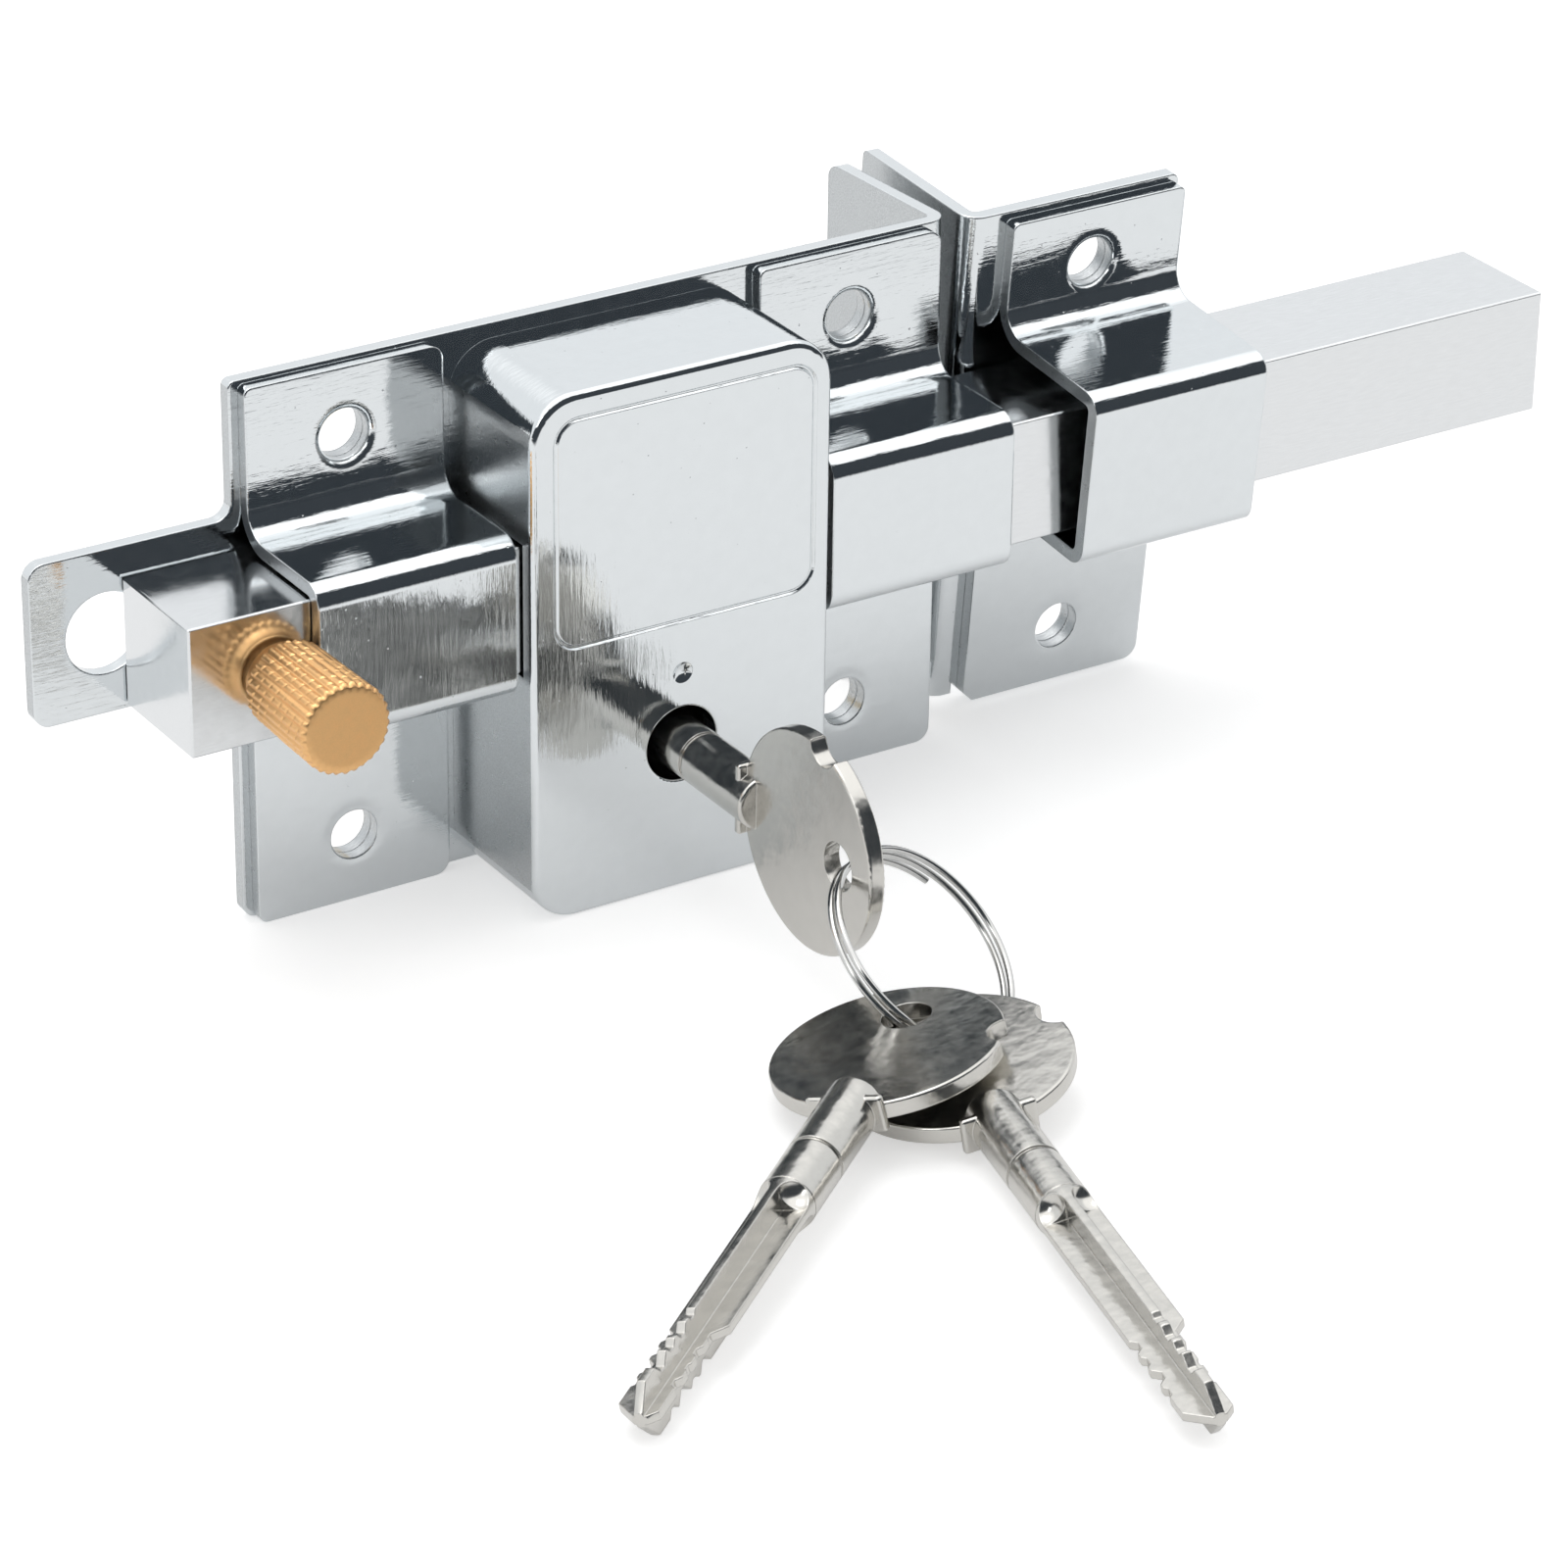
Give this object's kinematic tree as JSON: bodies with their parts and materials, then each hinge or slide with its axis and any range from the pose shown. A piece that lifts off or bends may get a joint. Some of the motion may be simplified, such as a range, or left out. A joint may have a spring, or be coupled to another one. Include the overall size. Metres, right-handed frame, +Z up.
{
  "type": "rim lock",
  "caption": "Surface-mounted sliding-bar lock: square bolt in two bridges, drawn case, cross-key cylinder, knurled brass knob, loose keeper and keys on a split ring.",
  "frame": {"origin": "middle of the four door screw holes, on the door's face", "axes": "+X along the bolt bar towards the keeper, +Y back into the door, +Z up"},
  "size_m": [0.2405, 0.2218, 0.0824],
  "materials": {
    "chrome_plate": "bright chrome plate on steel sheet",
    "satin_bar": "satin plated, brushed along its length",
    "inner_steel": "zinc-plated steel",
    "nickel_brass": "nickel-plated brass, turned",
    "brass_inner": "turned brass",
    "knob_brass": "bare brass, knurled, edges rounded",
    "key_nickel": "nickel plate, lightly rubbed",
    "ring_steel": "bright spring wire"
  },
  "bodies": {
    "lock_frame": {"backplate": "chrome_plate", "left_bridge": "chrome_plate", "right_bridge": "chrome_plate", "case_shell": "chrome_plate", "case_posts": "inner_steel", "case_screws": "inner_steel", "cylinder_body": "nickel_brass", "cylinder_screws": "inner_steel", "driver_pins": "brass_inner", "pin_springs": "inner_steel", "guide_bracket": "inner_steel", "guide_posts": "inner_steel", "travel_stop": "inner_steel"},
    "bar": {"bolt_bar": "satin_bar", "knob": "knob_brass", "knob_stud": "inner_steel"},
    "plug": {"plug": "brass_inner", "plug_cam": "inner_steel", "plug_washer": "inner_steel", "plug_clip": "inner_steel", "key_pins": "brass_inner"},
    "dog": {"locking_dog": "inner_steel"},
    "keeper": {"keeper_plate": "chrome_plate", "keeper_bridge": "chrome_plate"},
    "key_in_lock": {"key_1": "key_nickel"},
    "ring": {"split_ring": "ring_steel"},
    "left_key": {"key_2": "key_nickel"},
    "right_key": {"key_3": "key_nickel"}
  },
  "joints": [
    {"name": "bar_slide", "type": "slide", "parent": "lock_frame", "child": "bar", "axis": [-1, 0, 0], "range_m": [0, 0.096]},
    {"name": "key_turn", "type": "hinge", "parent": "lock_frame", "child": "plug", "pos_m": [0.00055, 0, -0.01805], "axis": [0, -1, 0], "range_deg": [0, 90]},
    {"name": "dog_slide", "type": "slide", "parent": "lock_frame", "child": "dog", "axis": [0, 0, 1], "range_m": [0, 0.00995]},
    {"name": "key_withdraw", "type": "slide", "parent": "plug", "child": "key_in_lock", "axis": [0, -1, 0], "range_m": [0, 0.06]},
    {"name": "ring_swing", "type": "hinge", "parent": "key_in_lock", "child": "ring", "pos_m": [0.00055, -0.0664, -0.01805], "axis": [1, 0, 0], "range_deg": [-45, 50]},
    {"name": "left_key_swing", "type": "hinge", "parent": "ring", "child": "left_key", "pos_m": [-0.00202, -0.08626, -0.03225], "axis": [-0.174, 0.159, 0.9718], "range_deg": [-50, 4]},
    {"name": "right_key_swing", "type": "hinge", "parent": "ring", "child": "right_key", "pos_m": [0.00189, -0.08687, -0.03546], "axis": [-0.165, 0.032, 0.9858], "range_deg": [-4, 50]},
    {"name": "keeper_slide", "type": "slide", "parent": "lock_frame", "child": "keeper", "axis": [1, 0, 0], "range_m": [0, 0.09]}
  ],
  "couplings": [
    {"joint": "dog_slide", "follows": "key_turn", "m_per_rad": 0.0063022}
  ]
}
